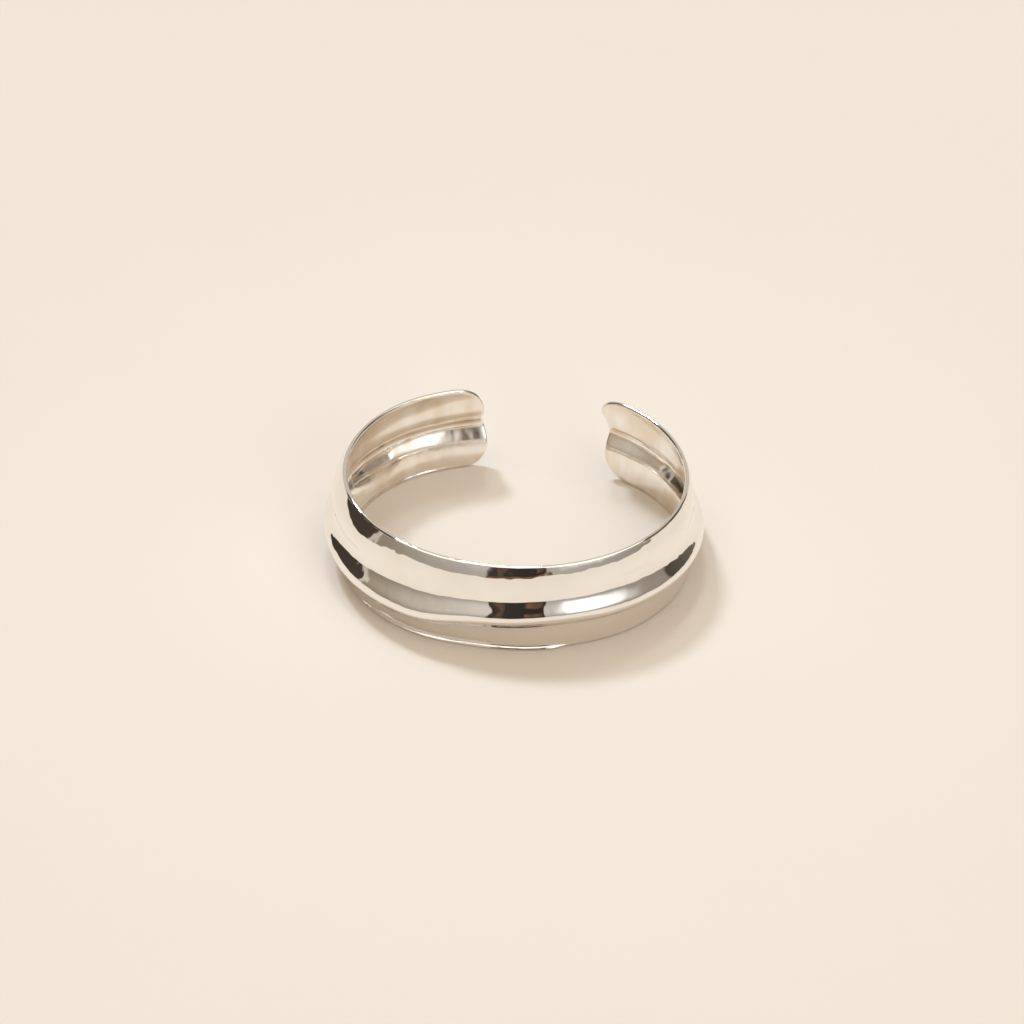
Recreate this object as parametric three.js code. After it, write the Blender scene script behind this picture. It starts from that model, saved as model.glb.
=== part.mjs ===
// A cuff bracelet: one strip of polished silver sheet, formed with two ridges that run along it and a
// groove between them, then bent into an oval that stays open at the back of the wrist. Each end is cut
// as two rounded lobes that meet in a notch near the groove. The cuff stands on its lower edge.
// Millimetres, +Z up, the closed front of the oval faces -Y.
import * as THREE from "three";

// Driving dimensions.
const PLAN_WIDTH = 61.0; // across the oval, on the middle of the sheet at the top rim
const PLAN_DEPTH = 50.0; // front to back of the whole oval that the open line lies on
const BAND_HEIGHT = 18.6; // overall, from the floor to the top rim
const SHEET = 0.9; // thickness of the metal
const GAP_LEFT = 5.25; // along the oval, from the back centre to the -X end
const GAP_RIGHT = 15.5; // along the oval, from the back centre to the +X end
const FRONT = 0.5; // share of the strip's length whose section the flat outline is drawn on

// Fineness of the faceted surface.
const ALONG_STEPS = 52;
const ACROSS_STEPS = 36;
const ROUNDING_STEPS = 4;
const OVAL_SAMPLES = 1440;

const SILVER = new THREE.MeshStandardMaterial({
  name: "polished silver",
  color: 0xd8d2ca,
  roughness: 0.06,
  metalness: 1,
});

// The oval as a polar curve: its radius is 1 plus these waves, where each wave repeats `waves` times in a
// turn and is given by its cosine and sine shares of the mean radius, counted from the front centre.
const OVAL_WAVES = [
  { waves: 2, cosine: -0.1015, sine: 0.0178 },
  { waves: 3, cosine: 0.0133, sine: 0.002 },
  { waves: 4, cosine: -0.0037, sine: -0.0018 },
  { waves: 5, cosine: 0.0031, sine: 0 },
];

// The section of the band, from the top rim down to the lower edge, which turns out a little as a lip.
// `down` is the place on the developed height, `lean` is how far the outer face tips up there, in degrees,
// and the metal turns evenly from one row to the next. `part` says which stretch the row belongs to, and
// `hang` how fully it goes along where the lower ridge hangs down.
const SECTION = [
  { down: 0, lean: 34, part: "upper", hang: 0 },
  { down: 0.07, lean: 27.5, part: "upper", hang: 0 },
  { down: 0.12, lean: 22, part: "upper", hang: 0 },
  { down: 0.19, lean: 10.5, part: "upper", hang: 0 },
  { down: 0.25, lean: -3.5, part: "groove", hang: 0 },
  { down: 0.3, lean: -2, part: "groove", hang: 0 },
  { down: 0.335, lean: 11, part: "groove", hang: 0 },
  { down: 0.365, lean: 25, part: "lower", hang: 0 },
  { down: 0.42, lean: 35, part: "lower", hang: 0 },
  { down: 0.47, lean: 41, part: "lower", hang: 0.4 },
  { down: 0.5, lean: 25, part: "crest", hang: 1 },
  { down: 0.528, lean: -3, part: "under", hang: 1 },
  { down: 0.56, lean: -23, part: "under", hang: 0.9 },
  { down: 0.622, lean: -39, part: "under", hang: 0.5 },
  { down: 0.68, lean: -23, part: "skirt", hang: 0.1 },
  { down: 0.72, lean: -12, part: "skirt", hang: 0 },
  { down: 0.82, lean: -9, part: "skirt", hang: 0 },
  { down: 0.955, lean: -5, part: "skirt", hang: 0 },
  { down: 0.985, lean: 14, part: "lip", hang: 0 },
  { down: 1, lean: 16, part: "lip", hang: 0 },
];

// The band was formed by hand, so its section wanders. The stations are evenly spaced from the -X end to
// the +X end. `sink` moves the groove and the lower ridge down, `spread` widens that ridge and `hang` lets
// its crest down, as shares of the developed height; the other columns add to the lean of the section's
// parts, in degrees.
const STATIONS = [
  { sink: 0.005, spread: 0.033, hang: 0, upper: -9, groove: 1, lower: 2, under: -1, skirt: 0 },
  { sink: 0.04, spread: 0.008, hang: 0, upper: -4, groove: 0, lower: -1, under: 3, skirt: -7 },
  { sink: 0.075, spread: -0.017, hang: 0, upper: 1, groove: -1.5, lower: -4, under: 7, skirt: -15 },
  { sink: 0.095, spread: 0.009, hang: 0, upper: 4, groove: -7.5, lower: 1, under: 1.5, skirt: -10.5 },
  { sink: 0.115, spread: 0.035, hang: 0, upper: 1, groove: -3.5, lower: 1, under: -4, skirt: -3.5 },
  { sink: 0.063, spread: 0.012, hang: 0.042, upper: -1.5, groove: 1, lower: 2, under: -8, skirt: -11 },
  { sink: 0.01, spread: -0.01, hang: 0, upper: -2, groove: 2, lower: 5, under: -3, skirt: -6 },
  { sink: 0.005, spread: 0.008, hang: 0, upper: -4, groove: 0, lower: 0, under: -7.5, skirt: 2 },
  { sink: 0, spread: 0.027, hang: 0.034, upper: -2, groove: -2, lower: -5, under: -14, skirt: 4 },
  { sink: 0.045, spread: 0.025, hang: 0.01, upper: -8, groove: 1.5, lower: 0, under: -11.5, skirt: 4 },
  { sink: 0.09, spread: 0.024, hang: 0, upper: -10, groove: 3.5, lower: -1, under: -11, skirt: 7 },
  { sink: 0.04, spread: 0.015, hang: 0, upper: -7, groove: 1.5, lower: 1.5, under: -9, skirt: 2.5 },
  { sink: -0.01, spread: 0.005, hang: 0, upper: -4, groove: 1.5, lower: -2, under: -7, skirt: 0.5 },
];

// Each end's outline, seen flat. The corners are quarter ellipses, `along` the band and `across` it, as
// shares of the band's height. Between them the edge passes through points: `back` is how far the edge
// stands back from the end's furthest reach, a share of the band's height, and `down` is the place on the
// developed height.
const LEFT_END = {
  upper: { along: 0.3, across: 0.31 },
  edge: [
    { back: 0.03, down: 0.29 },
    { back: 0.034, down: 0.34 },
    { back: 0.05, down: 0.392 },
    { back: 0.05, down: 0.455 },
    { back: 0.028, down: 0.58 },
    { back: 0.004, down: 0.69 },
    { back: 0, down: 0.755 },
  ],
  lower: { along: 0.25, across: 0.27 },
};
const RIGHT_END = {
  upper: { along: 0.31, across: 0.24 },
  edge: [
    { back: 0, down: 0.215 },
    { back: 0.017, down: 0.255 },
    { back: 0.056, down: 0.305 },
    { back: 0.064, down: 0.35 },
    { back: 0.058, down: 0.43 },
    { back: 0.05, down: 0.56 },
    { back: 0.05, down: 0.7 },
  ],
  lower: { along: 0.29, across: 0.33 },
};

const HALF = SHEET / 2;

// Radius of the unit oval at an angle from the front centre, towards +X.
function ovalRadius(angle) {
  return OVAL_WAVES.reduce(
    (sum, w) => sum + w.cosine * Math.cos(w.waves * angle) + w.sine * Math.sin(w.waves * angle),
    1,
  );
}

// The oval line in plan, from the back centre round by -X, the front and +X to the back centre again.
class OvalLine extends THREE.Curve {
  constructor(width, depth) {
    super();
    this.arcLengthDivisions = OVAL_SAMPLES;
    this.stretch = new THREE.Vector2(1, 1);
    const size = new THREE.Box2().setFromPoints(this.getPoints(OVAL_SAMPLES)).getSize(new THREE.Vector2());
    this.stretch.set(width / size.x, depth / size.y);
  }

  getPoint(share, target = new THREE.Vector2()) {
    const angle = (2 * share - 1) * Math.PI;
    const radius = ovalRadius(angle);
    return target.set(radius * Math.sin(angle), -radius * Math.cos(angle)).multiply(this.stretch);
  }

  // The point at a length along the line, and the horizontal direction that faces out of the oval there.
  at(length) {
    const share = THREE.MathUtils.clamp(length / this.getLength(), 0, 1);
    const point = this.getPointAt(share);
    const tangent = this.getTangentAt(share);
    return { point, outward: new THREE.Vector2(tangent.y, -tangent.x) };
  }
}

const radians = THREE.MathUtils.degToRad;

// One arc of the section, gone down it by `length`, where the whole arc is `whole` long and turns by `turn`
// from lean `from`: how far out and how far down it goes.
function arcMove(from, turn, whole, length) {
  const to = from + (turn * length) / whole;
  if (Math.abs(turn) < Number.EPSILON) {
    return { out: length * Math.sin(from), drop: length * Math.cos(from), lean: to };
  }
  const radius = whole / turn;
  return {
    out: radius * (Math.cos(from) - Math.cos(to)),
    drop: radius * (Math.sin(to) - Math.sin(from)),
    lean: to,
  };
}

// The stations' columns at a share of the band's length, eased from one station to the next.
function stationAt(share) {
  const place = THREE.MathUtils.clamp(share, 0, 1) * (STATIONS.length - 1);
  const index = Math.min(Math.floor(place), STATIONS.length - 2);
  const ease = THREE.MathUtils.smoothstep(place - index, 0, 1);
  const here = STATIONS[index];
  const next = STATIONS[index + 1];
  const mix = (column) => THREE.MathUtils.lerp(here[column], next[column], ease);
  return Object.fromEntries(Object.keys(here).map((column) => [column, mix(column)]));
}

// The section's middle line at a share of the band's length, as arcs on a developed height of 1.
function sectionArcs(share) {
  const station = stationAt(share);
  const rows = SECTION.map((row) => ({
    down:
      row.down +
      station.sink * Math.sin(Math.PI * row.down) -
      station.spread * Math.sin(2 * Math.PI * row.down) +
      station.hang * row.hang,
    lean: radians(row.lean + (station[row.part] ?? 0)),
  }));
  const arcs = [];
  let start = { out: 0, drop: 0 };
  for (let i = 0; i + 1 < rows.length; i++) {
    const whole = rows[i + 1].down - rows[i].down;
    const turn = rows[i + 1].lean - rows[i].lean;
    arcs.push({ ...rows[i], ...start, whole, turn });
    const move = arcMove(rows[i].lean, turn, whole, whole);
    start = { out: start.out + move.out, drop: start.drop + move.drop };
  }
  return { arcs, end: start };
}

// Developed height that makes the formed band as tall as it should be, its rounded edges counted in.
function developedHeight({ arcs, end }) {
  const last = arcs.at(-1);
  const edges = 2 - Math.cos(arcs[0].lean) - Math.cos(last.lean + last.turn);
  return (BAND_HEIGHT - HALF * edges) / end.drop;
}

// The section at a share of the band's length and a share of its developed height, in millimetres. Both
// rounded edges run level: `drop` is counted from the highest point of the rim.
function sectionAt(share, down) {
  const section = sectionArcs(share);
  const arc = section.arcs.findLast((a) => a.down <= down) ?? section.arcs[0];
  const move = arcMove(arc.lean, arc.turn, arc.whole, down - arc.down);
  const developed = developedHeight(section);
  const rounding = HALF * (1 - Math.cos(section.arcs[0].lean));
  return {
    out: developed * (arc.out + move.out),
    drop: rounding + developed * (arc.drop + move.drop),
    lean: move.lean,
  };
}

const oval = new OvalLine(PLAN_WIDTH, PLAN_DEPTH);
const STRIP_LENGTH = oval.getLength() - GAP_LEFT - GAP_RIGHT;
const DEVELOPED = developedHeight(sectionArcs(FRONT));

// An end's outline from the top edge to the lower edge: x is how far it stands back, y how far down it is.
function endOutline(end) {
  const rx = (corner) => corner.along * BAND_HEIGHT;
  const ry = (corner) => corner.across * BAND_HEIGHT;
  const points = end.edge.map((p) => new THREE.Vector2(p.back * BAND_HEIGHT, p.down * DEVELOPED));
  const first = points[0];
  const last = points.at(-1);
  const upperReach = Math.min(ry(end.upper), first.y);
  const lowerReach = Math.min(ry(end.lower), DEVELOPED - last.y);
  const path = new THREE.Path();
  path.absellipse(
    first.x + rx(end.upper), upperReach, rx(end.upper), upperReach, -Math.PI / 2, -Math.PI, true,
  );
  path.splineThru(points.slice(first.y > upperReach ? 0 : 1));
  path.lineTo(last.x, DEVELOPED - lowerReach);
  path.absellipse(
    last.x + rx(end.lower), DEVELOPED - lowerReach, rx(end.lower), lowerReach, Math.PI, Math.PI / 2, true,
  );
  return path.getSpacedPoints(ACROSS_STEPS);
}

// The flat outline of the whole strip as one loop of points (x along the strip, y down its developed
// height): top edge to +X, down the right end, lower edge to -X, up the left end.
function stripOutline() {
  const leftEnd = endOutline(LEFT_END);
  const rightEnd = endOutline(RIGHT_END).map((p) => new THREE.Vector2(STRIP_LENGTH - p.x, p.y));
  const loop = [];
  for (let i = 0; i < ALONG_STEPS; i++) loop.push(leftEnd[0].clone().lerp(rightEnd[0], i / ALONG_STEPS));
  for (let j = 0; j < ACROSS_STEPS; j++) loop.push(rightEnd[j]);
  const lowLeft = leftEnd[ACROSS_STEPS];
  const lowRight = rightEnd[ACROSS_STEPS];
  for (let i = 0; i < ALONG_STEPS; i++) loop.push(lowRight.clone().lerp(lowLeft, i / ALONG_STEPS));
  for (let j = ACROSS_STEPS; j > 0; j--) loop.push(leftEnd[j]);
  return loop;
}

// The direction into the strip at each point of its outline.
function inwardNormals(loop) {
  return loop.map((point, n) => {
    const before = point.clone().sub(loop.at(n - 1)).normalize();
    const after = loop[(n + 1) % loop.length].clone().sub(point).normalize();
    const tangent = before.add(after).normalize();
    return new THREE.Vector2(-tangent.y, tangent.x);
  });
}

// Where a flat point of the strip ends up once it is formed and bent; `off` is measured through the sheet.
function formed(flat, off) {
  const down = THREE.MathUtils.clamp(flat.y / DEVELOPED, 0, 1);
  const { out, drop, lean } = sectionAt(flat.x / STRIP_LENGTH, down);
  const { point, outward } = oval.at(GAP_LEFT + flat.x);
  const reach = out + off * Math.cos(lean);
  return new THREE.Vector3(
    point.x + outward.x * reach,
    point.y + outward.y * reach,
    off * Math.sin(lean) - drop,
  );
}

// Number of a grid point's place on the outline loop.
function loopPlace(i, j) {
  if (j === 0) return i;
  if (i === ALONG_STEPS) return ALONG_STEPS + j;
  if (j === ACROSS_STEPS) return ALONG_STEPS + ACROSS_STEPS + (ALONG_STEPS - i);
  return 2 * (ALONG_STEPS + ACROSS_STEPS) - j;
}

const onOutline = (i, j) => i === 0 || j === 0 || i === ALONG_STEPS || j === ACROSS_STEPS;

// The half-round edge: rings of points from the inner face's border to the outer face's border.
function edgeRings(loop, vertices) {
  const inward = inwardNormals(loop);
  const rings = [];
  for (let ring = 0; ring <= ROUNDING_STEPS; ring++) {
    const angle = (ring / ROUNDING_STEPS - 0.5) * Math.PI;
    const inset = HALF * (1 - Math.cos(angle));
    const flat = loop.map((p, n) => p.clone().addScaledVector(inward[n], inset));
    rings.push({ start: vertices.length, flat });
    vertices.push(...flat.map((p) => formed(p, HALF * Math.sin(angle))));
  }
  return rings;
}

// One broad face of the sheet, `off` from its middle: adds its inner points and returns a lookup of the
// vertex at each grid place.
function faceGrid(border, off, vertices) {
  const start = vertices.length;
  for (let j = 1; j < ACROSS_STEPS; j++) {
    const left = border.flat[loopPlace(0, j)];
    const right = border.flat[loopPlace(ALONG_STEPS, j)];
    for (let i = 1; i < ALONG_STEPS; i++) {
      vertices.push(formed(left.clone().lerp(right, i / ALONG_STEPS), off));
    }
  }
  return (i, j) =>
    onOutline(i, j) ? border.start + loopPlace(i, j) : start + (j - 1) * (ALONG_STEPS - 1) + (i - 1);
}

// Two triangles for the quad a, b, c, d, whose corners run counter-clockwise seen from outside.
function addQuad(faces, a, b, c, d) {
  faces.push(a, b, c, a, c, d);
}

// The closed surface of the cuff, centred over the origin with its lower edge on z = 0.
function cuffGeometry() {
  const vertices = [];
  const faces = [];
  const loop = stripOutline();
  const rings = edgeRings(loop, vertices);
  const inner = faceGrid(rings[0], -HALF, vertices);
  const outer = faceGrid(rings.at(-1), HALF, vertices);
  for (let j = 0; j < ACROSS_STEPS; j++) {
    for (let i = 0; i < ALONG_STEPS; i++) {
      addQuad(faces, outer(i, j), outer(i, j + 1), outer(i + 1, j + 1), outer(i + 1, j));
      addQuad(faces, inner(i, j), inner(i + 1, j), inner(i + 1, j + 1), inner(i, j + 1));
    }
  }
  for (let ring = 0; ring < ROUNDING_STEPS; ring++) {
    const near = rings[ring].start;
    const far = rings[ring + 1].start;
    for (let n = 0; n < loop.length; n++) {
      const next = (n + 1) % loop.length;
      addQuad(faces, near + n, far + n, far + next, near + next);
    }
  }
  const geometry = new THREE.BufferGeometry().setFromPoints(vertices).setIndex(faces);
  geometry.computeBoundingBox();
  const middle = geometry.boundingBox.getCenter(new THREE.Vector3());
  geometry.translate(-middle.x, -middle.y, -geometry.boundingBox.min.z);
  geometry.computeVertexNormals();
  return geometry;
}

const cuff = new THREE.Mesh(cuffGeometry(), SILVER);
cuff.name = "cuff";

const bracelet = new THREE.Group();
bracelet.name = "cuff bracelet";
bracelet.add(cuff);

export default bracelet;
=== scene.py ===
"""The looks of an open silver cuff bracelet: its polished band, the floor and the studio."""

import logging
import math
from dataclasses import dataclass, field
from enum import Enum

import bmesh
import bpy
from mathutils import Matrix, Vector

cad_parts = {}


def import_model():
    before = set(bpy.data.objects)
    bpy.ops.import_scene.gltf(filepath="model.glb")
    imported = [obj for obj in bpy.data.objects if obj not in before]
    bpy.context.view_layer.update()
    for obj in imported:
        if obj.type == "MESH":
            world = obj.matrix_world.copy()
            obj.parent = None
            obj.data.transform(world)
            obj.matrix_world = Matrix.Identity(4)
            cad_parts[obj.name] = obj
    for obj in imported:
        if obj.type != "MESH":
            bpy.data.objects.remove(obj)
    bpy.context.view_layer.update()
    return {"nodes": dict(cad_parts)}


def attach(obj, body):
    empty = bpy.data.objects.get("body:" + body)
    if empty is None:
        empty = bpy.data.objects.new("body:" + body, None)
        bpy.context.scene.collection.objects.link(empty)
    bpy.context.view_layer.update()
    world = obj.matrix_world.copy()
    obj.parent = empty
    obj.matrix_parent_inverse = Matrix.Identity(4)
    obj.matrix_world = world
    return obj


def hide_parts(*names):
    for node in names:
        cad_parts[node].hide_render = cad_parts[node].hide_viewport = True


log = logging.getLogger("cuff")

MILLIMETRE = 0.001

RGB = tuple[float, float, float]
Triple = tuple[float, float, float]

BLACK = (0.0, 0.0, 0.0)

# A Mix node has a socket for each kind of value. These are the ones that carry a colour.
MIX_SHARE, MIX_FIRST, MIX_SECOND, MIX_RESULT = 0, 6, 7, 2


class Maths(Enum):
    """The operations of a Math node that the shaders use."""

    ADD = "ADD"
    SUBTRACT = "SUBTRACT"
    MULTIPLY = "MULTIPLY"
    ARC_SINE = "ARCSINE"
    ARC_TANGENT = "ARCTAN2"
    TO_DEGREES = "DEGREES"


class Signal:
    """An output socket that takes part in plain arithmetic, each step of which adds a Math node."""

    def __init__(self, graph: "Graph", socket: bpy.types.NodeSocket) -> None:
        """Wraps a socket.

        Args:
            graph: The node graph that the socket is in.
            socket: The output socket.
        """
        self.graph = graph
        self.socket = socket

    def __add__(self, other: "Signal | float") -> "Signal":
        """Returns this plus the other."""
        return self.graph.maths(Maths.ADD, self, other)

    def __radd__(self, other: float) -> "Signal":
        """Returns the other plus this."""
        return self.graph.maths(Maths.ADD, other, self)

    def __sub__(self, other: "Signal | float") -> "Signal":
        """Returns this less the other."""
        return self.graph.maths(Maths.SUBTRACT, self, other)

    def __rsub__(self, other: float) -> "Signal":
        """Returns the other less this."""
        return self.graph.maths(Maths.SUBTRACT, other, self)

    def __mul__(self, other: "Signal | float") -> "Signal":
        """Returns this times the other."""
        return self.graph.maths(Maths.MULTIPLY, self, other)

    def __rmul__(self, other: float) -> "Signal":
        """Returns the other times this."""
        return self.graph.maths(Maths.MULTIPLY, other, self)


class Graph:
    """A material's or a world's node tree, emptied and ready to be filled."""

    def __init__(self, tree: bpy.types.NodeTree) -> None:
        """Empties the tree.

        Args:
            tree: The node tree to fill.
        """
        self.tree = tree
        tree.nodes.clear()

    def node(
        self, kind: str, settings: dict | None = None, values: dict | None = None
    ) -> bpy.types.Node:
        """Adds a node.

        Args:
            kind: The node's type name.
            settings: The node's own properties by name.
            values: What each input holds, by name or number: a Signal, a number or a tuple.

        Returns:
            The new node.
        """
        made = self.tree.nodes.new(kind)
        for name, value in (settings or {}).items():
            setattr(made, name, value)
        for name, value in (values or {}).items():
            if isinstance(value, Signal):
                self.tree.links.new(value.socket, made.inputs[name])
            else:
                made.inputs[name].default_value = value
        return made

    def signal(
        self, kind: str, output: str, settings: dict | None = None, values: dict | None = None
    ) -> Signal:
        """Adds a node and gives one of its outputs.

        Args:
            kind: The node's type name.
            output: The output's name.
            settings: The node's own properties by name.
            values: What each input holds.

        Returns:
            The output as a signal.
        """
        return Signal(self, self.node(kind, settings, values).outputs[output])

    def maths(
        self, operation: Maths, first: Signal | float, second: Signal | float = 0.0
    ) -> Signal:
        """Adds a Math node.

        Args:
            operation: What the node does.
            first: Its first operand.
            second: Its second operand.

        Returns:
            The result as a signal.
        """
        settings = {"operation": operation.value}
        return self.signal("ShaderNodeMath", "Value", settings, {0: first, 1: second})

    def rise(self, value: Signal, low: float, high: float) -> Signal:
        """Adds a smooth step.

        Args:
            value: What is measured.
            low: Where the step starts, at 0.
            high: Where the step ends, at 1.

        Returns:
            The step as a signal from 0 to 1.
        """
        values = {"Value": value, "From Min": low, "From Max": high}
        settings = {"interpolation_type": "SMOOTHSTEP"}
        return self.signal("ShaderNodeMapRange", "Result", settings, values)

    def span(self, value: Signal, low: float, high: float, soft: float) -> Signal:
        """Adds a window that is 1 between two values and falls to 0 softly outside them.

        Args:
            value: What is measured.
            low: The window's lower side.
            high: The window's upper side.
            soft: How wide each side's fall is.

        Returns:
            The window as a signal from 0 to 1.
        """
        opening = self.rise(value, low - soft, low + soft)
        closing = self.rise(value, high - soft, high + soft)
        return opening * (1.0 - closing)

    def distance(self, place: Signal) -> Signal:
        """Returns how far a place is from the origin of its coordinates."""
        settings = {"operation": "LENGTH"}
        return self.signal("ShaderNodeVectorMath", "Value", settings, {0: place})

    def noise(self, place: Signal, size: float, detail: float = 0.0, warp: float = 0.0) -> Signal:
        """Adds a noise pattern.

        Args:
            place: The coordinates that the pattern follows.
            size: How wide one blotch of it is, in metres.
            detail: How many finer layers it has.
            warp: How much it is stirred.

        Returns:
            The pattern as a signal from 0 to 1.
        """
        values = {"Vector": place, "Scale": 1 / size, "Detail": detail, "Distortion": warp}
        return self.signal("ShaderNodeTexNoise", "Fac", {"noise_dimensions": "3D"}, values)

    def mix(
        self, share: Signal, first: Signal | RGB, second: Signal | RGB, label: str = ""
    ) -> Signal:
        """Adds a colour mix.

        Args:
            share: 0 gives the first colour and 1 the second.
            first: The first colour.
            second: The second colour.
            label: What the node is called in the node editor.

        Returns:
            The mixed colour as a signal.
        """
        values = {MIX_SHARE: share}
        for number, value in ((MIX_FIRST, first), (MIX_SECOND, second)):
            values[number] = value if isinstance(value, Signal) else (*value, 1.0)
        made = self.node("ShaderNodeMix", {"data_type": "RGBA", "label": label}, values)
        return Signal(self, made.outputs[MIX_RESULT])


@dataclass(frozen=True)
class Dent:
    """One small dimple that the hammer left, in millimetres."""

    name: str
    middle: Triple
    radii: Triple
    depth: float

    def relief(self, graph: Graph, place: Signal) -> Signal:
        """Adds the dimple to a material.

        Args:
            graph: The material's graph.
            place: The object's own coordinates.

        Returns:
            The height of the surface, in metres.
        """
        scale = tuple(1 / (value * MILLIMETRE) for value in self.radii)
        shift = tuple(-value / radius for value, radius in zip(self.middle, self.radii))
        nearby = {"Vector": place, "Location": shift, "Scale": scale}
        moved = graph.signal("ShaderNodeMapping", "Vector", {"label": self.name}, nearby)
        away = graph.distance(moved)
        return (1.0 - graph.rise(away, 0.0, 1.0)) * (-self.depth * MILLIMETRE)


@dataclass(frozen=True)
class Silver:
    """Silver with the shallow waves of hand work, as polished or as satiny as it is asked for."""

    name: str = "polished silver"
    bright: RGB = (0.935, 0.91, 0.875)
    # The colour that the random tone blotches reach. On the satiny inside it is painted reflection
    # and shade.
    warm: RGB = (0.905, 0.87, 0.825)
    smoothest: float = 0.02
    hazier: float = 0.055
    tone_size: float = 9.0 * MILLIMETRE
    haze_size: float = 2.2 * MILLIMETRE
    swell_size: float = 8.0 * MILLIMETRE
    swell_height: float = 0.03 * MILLIMETRE
    wave_size: float = 2.4 * MILLIMETRE
    wave_height: float = 0.05 * MILLIMETRE
    ripple_size: float = 1.3 * MILLIMETRE
    ripple_height: float = 0.005 * MILLIMETRE
    stirring: float = 0.4
    tone_step: tuple[float, float] = (0.35, 0.65)
    haze_step: tuple[float, float] = (0.3, 0.7)
    upright: float = 1.0
    dents: tuple[Dent, ...] = ()

    def material(self) -> bpy.types.Material:
        """Builds the material.

        Returns:
            The finished material.
        """
        made = bpy.data.materials.new(self.name)
        made.use_nodes = True
        graph = Graph(made.node_tree)
        place = graph.signal("ShaderNodeTexCoord", "Object")
        stretch = {"Vector": place, "Scale": (1.0, 1.0, self.upright)}
        drawn = graph.signal("ShaderNodeMapping", "Vector", {}, stretch)
        # Random tone blotches. On the satiny inside their brown is painted reflection and shade.
        tone = graph.noise(drawn, self.tone_size, detail=2.0)
        haze = graph.noise(drawn, self.haze_size, detail=3.0)
        swells = graph.noise(place, self.swell_size) * self.swell_height
        waves = graph.noise(drawn, self.wave_size, warp=self.stirring) * self.wave_height
        ripples = graph.noise(drawn, self.ripple_size, detail=1.0) * self.ripple_height
        relief = swells + waves + ripples
        for dent in self.dents:
            relief = relief + dent.relief(graph, place)
        dulling = graph.rise(haze, *self.haze_step) * (self.hazier - self.smoothest)
        bump = {"Distance": 1.0, "Height": relief}
        values = {
            "Base Color": graph.mix(graph.rise(tone, *self.tone_step), self.bright, self.warm),
            "Roughness": self.smoothest + dulling,
            "Metallic": 1.0,
            "Normal": graph.signal("ShaderNodeBump", "Normal", {}, bump),
        }
        shader = graph.signal("ShaderNodeBsdfPrincipled", "BSDF", {}, values)
        graph.node("ShaderNodeOutputMaterial", {}, {"Surface": shader})
        return made


POLISHED = Silver(
    dents=(
        Dent("left of the rim", (-25.3, -11.3, 18.2), (8.7, 8.7, 5.0), 0.6),
        Dent("right of the rim", (27.0, -12.5, 18.2), (7.0, 7.0, 4.0), 0.5),
    ),
)
SATINY = Silver(
    name="satiny silver",
    bright=(0.95, 0.92, 0.88),
    # Painted reflection and shade: this brown, reached in random blotches, stands in for the shaded
    # floor that the inside mirrors twice over, not for a colour of the silver.
    warm=(0.83, 0.74, 0.64),
    smoothest=0.07,
    hazier=0.22,
    tone_size=5.0 * MILLIMETRE,
    haze_size=4.0 * MILLIMETRE,
    swell_height=0.25 * MILLIMETRE,
    wave_size=3.0 * MILLIMETRE,
    wave_height=0.12 * MILLIMETRE,
    ripple_height=0.012 * MILLIMETRE,
    upright=0.4,
    dents=(
        Dent("pock", (-23.3, 21.2, 6.0), (1.2, 1.2, 1.2), 0.12),
        Dent("curl of the left end", (3.0, 27.0, 7.0), (18.0, 9.0, 8.0), 0.6),
    ),
)


@dataclass(frozen=True)
class MattePaper:
    """The pale warm paper that the studio floor is covered with, with painted shade: it is drawn
    darker away from the middle for the light's falloff towards the corners.
    """

    light: RGB = (0.9, 0.805, 0.7)
    shade: RGB = (0.865, 0.768, 0.66)
    tone_size: float = 0.03
    tone_share: float = 0.25
    # Painted shade: between these distances from the middle, the paper turns from the light colour
    # to the shade colour, for the light's falloff towards the corners.
    painted_falloff_from: float = 0.03
    painted_falloff_to: float = 0.14
    roughness: float = 0.9
    gloss: float = 0.1

    def material(self) -> bpy.types.Material:
        """Builds the material.

        Returns:
            The finished material.
        """
        made = bpy.data.materials.new("matte paper")
        made.use_nodes = True
        graph = Graph(made.node_tree)
        place = graph.signal("ShaderNodeTexCoord", "Object")
        away = graph.distance(place)
        # Painted shade for the light's falloff, darker away from the middle, mixed with blotches of
        # the paper's own uneven tone.
        painted_falloff = graph.rise(away, self.painted_falloff_from, self.painted_falloff_to)
        blotches = graph.noise(place, self.tone_size, detail=2.0) * self.tone_share
        tone = painted_falloff * (1.0 - self.tone_share) + blotches
        values = {
            "Base Color": graph.mix(tone, self.light, self.shade),
            "Roughness": self.roughness,
            "Specular IOR Level": self.gloss,
        }
        shader = graph.signal("ShaderNodeBsdfPrincipled", "BSDF", {}, values)
        graph.node("ShaderNodeOutputMaterial", {}, {"Surface": shader})
        return made


@dataclass(frozen=True)
class Lip:
    """One stretch of the lower edge, rolled out to a fine lip, in degrees and millimetres."""

    name: str
    side: float
    turns: tuple[float, float]
    fades: tuple[float, float]
    reach: float

    def push(self, turn: float) -> float:
        """Gives how far the lip stands out at one turn around the band, on its own side.

        Args:
            turn: The turn from the front towards +X, in degrees.

        Returns:
            The distance, in metres.
        """
        first, last = self.turns
        opening, closing = self.fades
        return self.reach * MILLIMETRE * fade(turn - first, opening) * fade(last - turn, closing)


LIPS = (
    Lip("front left, outside", 1.0, (-74.0, 24.0), (26.0, 12.0), 0.6),
    Lip("rear left, inside", -1.0, (-160.0, -100.0), (16.0, 16.0), 0.24),
)


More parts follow.
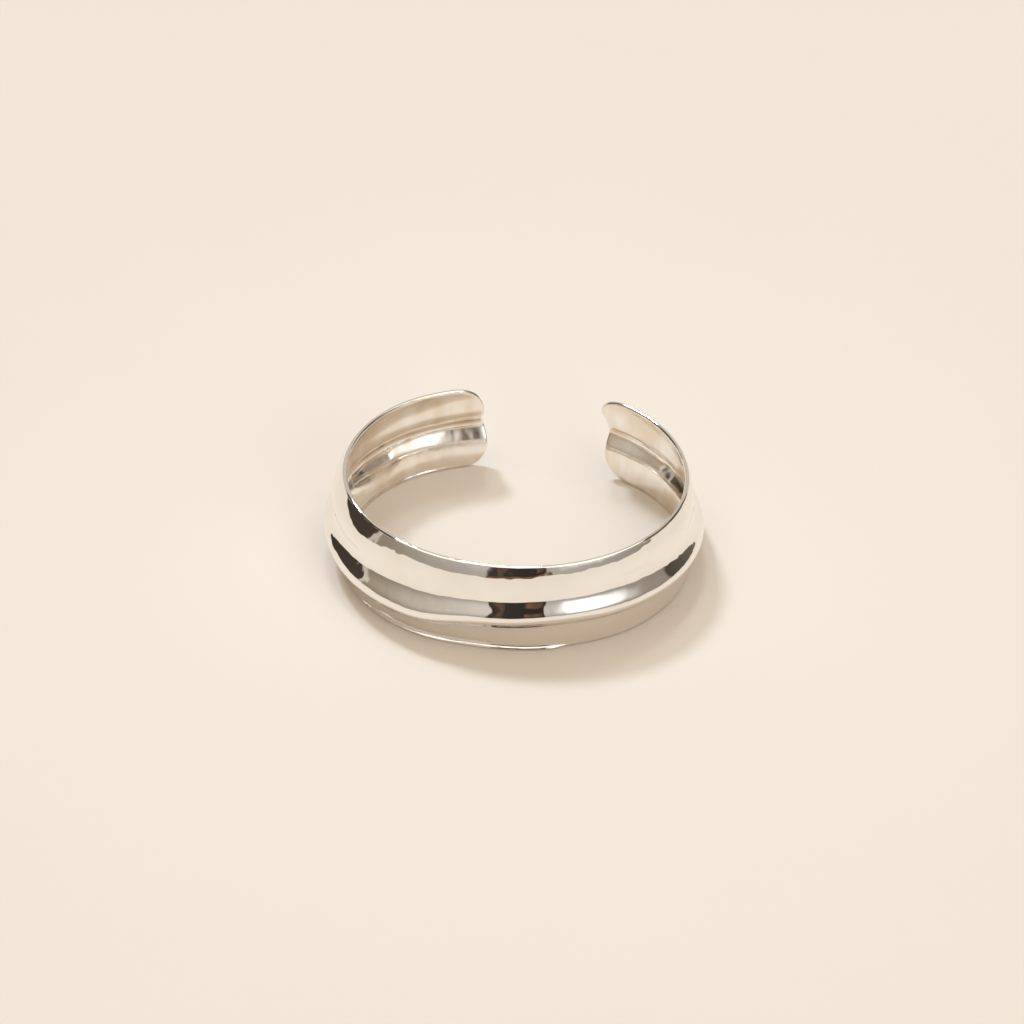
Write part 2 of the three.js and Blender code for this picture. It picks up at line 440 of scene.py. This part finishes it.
@dataclass
class CuffBand:
    """The one piece of the cuff: a formed and bent strip of sheet silver with half-round edges."""

    node: str = "cuff"
    body: str = "root"
    slot: str = "silver"
    name: str = "cuff_band"
    outside: Silver = POLISHED
    inside: Silver = SATINY
    lips: tuple[Lip, ...] = LIPS
    inner_share: float = 0.5
    weld: float = 0.002 * MILLIMETRE
    square_angle: float = math.radians(70)
    rounding_levels: int = 2
    lip_top: float = 0.85 * MILLIMETRE
    lip_fall: float = 0.6 * MILLIMETRE

    def build(self, nodes: dict[str, bpy.types.Object]) -> bpy.types.Object:
        """Makes the band from its solid.

        Args:
            nodes: The frame's solids by name.

        Returns:
            The finished piece.
        """
        band = self.blank(nodes[self.node])
        self.square_up(band)
        self.round_out(band)
        self.roll_lips(band)
        self.dress(band)
        return band

    def blank(self, solid: bpy.types.Object) -> bpy.types.Object:
        """Copies the solid, which itself stays as it is.

        Args:
            solid: The frame's solid of the band.

        Returns:
            A free object with a mesh of its own.
        """
        deselect_all()
        band = bpy.data.objects.new(self.name, solid.data.copy())
        bpy.context.scene.collection.objects.link(band)
        band.data.materials.clear()
        select_only(band)
        return band

    def square_up(self, band: bpy.types.Object) -> None:
        """Merges the loose triangles and joins them in pairs to the strip's lengthwise quads.

        Args:
            band: The copied band.
        """
        bpy.ops.object.mode_set(mode="EDIT")
        bpy.ops.mesh.select_all(action="SELECT")
        bpy.ops.mesh.remove_doubles(threshold=self.weld)
        bpy.ops.mesh.tris_convert_to_quads(
            face_threshold=self.square_angle, shape_threshold=self.square_angle
        )
        bpy.ops.mesh.customdata_custom_splitnormals_clear()
        bpy.ops.object.mode_set(mode="OBJECT")

    def round_out(self, band: bpy.types.Object) -> None:
        """Turns the facets into one smooth surface.

        Args:
            band: The band in quads.
        """
        smooth = band.modifiers.new("rounding", "SUBSURF")
        smooth.levels = self.rounding_levels
        smooth.render_levels = self.rounding_levels
        bpy.ops.object.modifier_apply(modifier=smooth.name)
        bpy.ops.object.shade_smooth()

    def roll_lips(self, band: bpy.types.Object) -> None:
        """Rolls the fine lips of the lower edge, which catch a line of light.

        Args:
            band: The smooth band.
        """
        mesh = bmesh.new()
        mesh.from_mesh(band.data)
        for point in mesh.verts:
            outward = Vector((point.co.x, point.co.y, 0.0)).normalized()
            turn = math.degrees(math.atan2(point.co.x, -point.co.y))
            drop = fade(self.lip_top - point.co.z, self.lip_fall)
            for lip in self.lips:
                share = lip.side * point.normal.dot(outward) + self.inner_share
                facing = fade(share, self.inner_share)
                point.co += outward * (lip.side * lip.push(turn) * drop * facing)
        mesh.to_mesh(band.data)
        mesh.free()
        for lip in self.lips:
            log.info("%s: lip at the %s, %.2f mm", band.name, lip.name, lip.reach)

    def dress(self, band: bpy.types.Object) -> None:
        """Gives the band its two finishes and its place in the frame.

        Args:
            band: The finished mesh.
        """
        band.data.materials.append(self.outside.material())
        band.data.materials.append(self.inside.material())
        for face in band.data.polygons:
            outward = Vector((face.center.x, face.center.y, 0.0)).normalized()
            face.material_index = int(face.normal.dot(outward) < -self.inner_share)
        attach(band, self.body)
        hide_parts(self.node)


@dataclass(frozen=True)
class Card:
    """One flat area of the room, given by where it is seen from the cuff, in degrees."""

    name: str
    turns: tuple[float, float]
    heights: tuple[float, float]
    near: RGB
    far: RGB
    soft: float = 1.5
    dimming: float = 0.0
    climb: tuple[float, float] = (4.0, 34.0)

    def paint(self, graph: Graph, turn: Signal, height: Signal, behind: Signal) -> Signal:
        """Lays the card over what is behind it.

        Args:
            graph: The world's graph.
            turn: The direction's turn from the front towards +X, in degrees.
            height: The direction's height above the horizon, in degrees.
            behind: The colour behind the card.

        Returns:
            The colour with the card in front.
        """
        shade = graph.mix(graph.rise(turn, *self.turns), self.near, self.far)
        if self.dimming > 0.0:
            foot = 1.0 - graph.rise(height, *self.climb)
            shade = graph.mix(foot * self.dimming, shade, BLACK)
        across = graph.span(turn, *self.turns, self.soft)
        cover = across * graph.span(height, *self.heights, self.soft)
        return graph.mix(cover, behind, shade, self.name)


ROOM_CARDS = (
    Card(
        "left screen", (-90, -15), (-30, 58), (0.44, 0.36, 0.27), (0.68, 0.62, 0.56), dimming=0.36
    ),
    Card(
        "left screen's edge", (-91, -87), (-30, 58), (0.8, 0.71, 0.6), (0.74, 0.66, 0.56), 1.0, 0.3
    ),
    Card(
        "far left gap", (-128, -91.5), (-30, 62), (0.045, 0.035, 0.026), (0.06, 0.045, 0.034), 1.0
    ),
    Card(
        "right screen", (13, 90), (-30, 60), (0.58, 0.54, 0.49), (0.38, 0.32, 0.27), dimming=0.25
    ),
    Card("window", (24, 58), (15, 52), (2.4, 2.35, 2.3), (1.3, 1.27, 1.25), 9.0),
    Card("far right gap", (89, 128), (-30, 60), (0.08, 0.065, 0.05), (0.17, 0.14, 0.11), 1.0),
    Card("open middle", (-17, 13), (-30, 60), (0.045, 0.037, 0.03), (0.03, 0.026, 0.024), 0.8),
    Card("wooden post", (-13, -8), (4, 40), (0.12, 0.075, 0.05), (0.09, 0.06, 0.042), 1.0),
    Card("wooden chair", (5, 11), (8, 30), (0.2, 0.11, 0.065), (0.1, 0.06, 0.04), 1.5),
    Card("wooden sill", (-17, 13), (-2, 3.5), (0.16, 0.08, 0.045), (0.2, 0.11, 0.06), 0.8),
    Card("overhead cloth", (-120, 120), (51, 84), (1.33, 1.24, 1.08), (1.33, 1.24, 1.08), 2.0),
    Card("wooden beam", (-38, 20), (50, 60), (0.14, 0.09, 0.06), (0.11, 0.07, 0.045), 2.0),
)


@dataclass(frozen=True)
class Lamp:
    """One soft lamp: the way to it, how wide it looks in degrees, and its strength."""

    name: str
    source: Triple
    spread: float
    strength: float


KEY_LAMPS = (
    Lamp("key", (-0.36, 0.53, 1.0), 9.0, 1.27),
    Lamp("key's wing", (-0.06, 0.46, 1.0), 10.0, 0.42),
)


@dataclass
class Studio:
    """The floor, the key light and the room that the silver mirrors."""

    floor_side: float = 4.0
    paper: MattePaper = field(default_factory=MattePaper)
    lamps: tuple[Lamp, ...] = KEY_LAMPS
    cards: tuple[Card, ...] = ROOM_CARDS
    key_colour: RGB = (0.71, 0.84, 1.0)
    backdrop: RGB = (0.6, 0.56, 0.5)
    ceiling: RGB = (0.57, 0.52, 0.45)
    rear_from: float = 100.0
    rear_to: float = 150.0

    def build(self) -> None:
        """Sets up the floor, the light and the room."""
        self.lay_floor()
        self.hang_lamps()
        self.paint_room()

    def lay_floor(self) -> bpy.types.Object:
        """Lays the floor under the cuff.

        Returns:
            The floor.
        """
        deselect_all()
        bpy.ops.mesh.primitive_plane_add(size=self.floor_side)
        floor = bpy.context.object
        floor.name = "floor"
        floor.data.materials.append(self.paper.material())
        return floor

    def hang_lamps(self) -> None:
        """Hangs the soft lamps of the key light, each shining one way over the whole floor."""
        for lamp in self.lamps:
            light = bpy.data.lights.new(lamp.name, "SUN")
            light.energy = lamp.strength
            light.color = self.key_colour
            light.angle = math.radians(lamp.spread)
            hung = bpy.data.objects.new(lamp.name, light)
            bpy.context.scene.collection.objects.link(hung)
            hung.rotation_euler = Vector(lamp.source).to_track_quat("Z", "Y").to_euler()

    def paint_room(self) -> bpy.types.World:
        """Paints the room by direction: a pale backdrop and ceiling behind the cards.

        Returns:
            The world.
        """
        world = bpy.data.worlds.new("studio room")
        bpy.context.scene.world = world
        world.use_nodes = True
        graph = Graph(world.node_tree)
        heading = graph.signal("ShaderNodeTexCoord", "Generated")
        parts = graph.node("ShaderNodeSeparateXYZ", {}, {"Vector": heading})
        right, away, up = (Signal(graph, parts.outputs[name]) for name in ("X", "Y", "Z"))
        turn = graph.maths(Maths.TO_DEGREES, graph.maths(Maths.ARC_TANGENT, right, away * -1.0))
        height = graph.maths(Maths.TO_DEGREES, graph.maths(Maths.ARC_SINE, up))
        rear = 1.0 - graph.span(turn, -self.rear_to, self.rear_to, self.rear_to - self.rear_from)
        colour = graph.mix(rear, self.ceiling, self.backdrop)
        for card in self.cards:
            colour = card.paint(graph, turn, height, colour)
        values = {"Color": colour, "Strength": 1.0}
        light = graph.signal("ShaderNodeBackground", "Background", {}, values)
        graph.node("ShaderNodeOutputWorld", {}, {"Surface": light})
        return world


@dataclass
class ProductCamera:
    """The camera at the photograph's viewing angle."""

    eye: Triple = (-0.287 * MILLIMETRE, -497.619 * MILLIMETRE, 427.5 * MILLIMETRE)
    pitch: float = math.radians(40)
    lens: float = 126.5625
    sensor: float = 36.0
    nearest: float = 0.01
    furthest: float = 10.0

    def build(self) -> bpy.types.Object:
        """Sets up the camera and the plain colour response.

        Returns:
            The camera.
        """
        data = bpy.data.cameras.new("camera")
        data.lens = self.lens
        data.sensor_width = self.sensor
        data.clip_start = self.nearest
        data.clip_end = self.furthest
        camera = bpy.data.objects.new("camera", data)
        bpy.context.scene.collection.objects.link(camera)
        camera.location = self.eye
        camera.rotation_euler = (math.radians(90) - self.pitch, 0, 0)
        bpy.context.scene.camera = camera
        bpy.context.scene.view_settings.view_transform = "Standard"
        return camera


def fade(value: float, reach: float) -> float:
    """Gives a smooth rise from 0 where a value is 0 to 1 where it is the reach or more.

    Args:
        value: What is measured.
        reach: Where the rise ends.

    Returns:
        The share from 0 to 1.
    """
    share = min(max(value / reach, 0.0), 1.0)
    return share * share * (3.0 - 2.0 * share)


def deselect_all() -> None:
    """Clears the selection, which the loaded frame leaves on its solids."""
    for selected in list(bpy.context.selected_objects):
        selected.select_set(False)


def select_only(piece: bpy.types.Object) -> None:
    """Makes one object the selected and active one.

    Args:
        piece: The object.
    """
    deselect_all()
    piece.select_set(True)
    bpy.context.view_layer.objects.active = piece


def open_edges(piece: bpy.types.Object) -> int:
    """Counts the edges that don't join exactly two faces.

    Args:
        piece: The object.

    Returns:
        The number of such edges.
    """
    mesh = bmesh.new()
    mesh.from_mesh(piece.data)
    count = sum(len(edge.link_faces) != 2 for edge in mesh.edges)
    mesh.free()
    return count


def main() -> None:
    """Builds the cuff, its studio and the camera, and reports each piece."""
    logging.basicConfig(level=logging.INFO, format="%(name)s: %(message)s")
    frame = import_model()
    band = CuffBand().build(frame["nodes"])
    log.info("%s: %d faces, %d open edges", band.name, len(band.data.polygons), open_edges(band))
    Studio().build()
    log.info("studio: floor, key light and room")
    camera = ProductCamera().build()
    log.info("%s: %s", camera.name, tuple(round(value, 4) for value in camera.location))


if __name__ == "__main__":
    main()
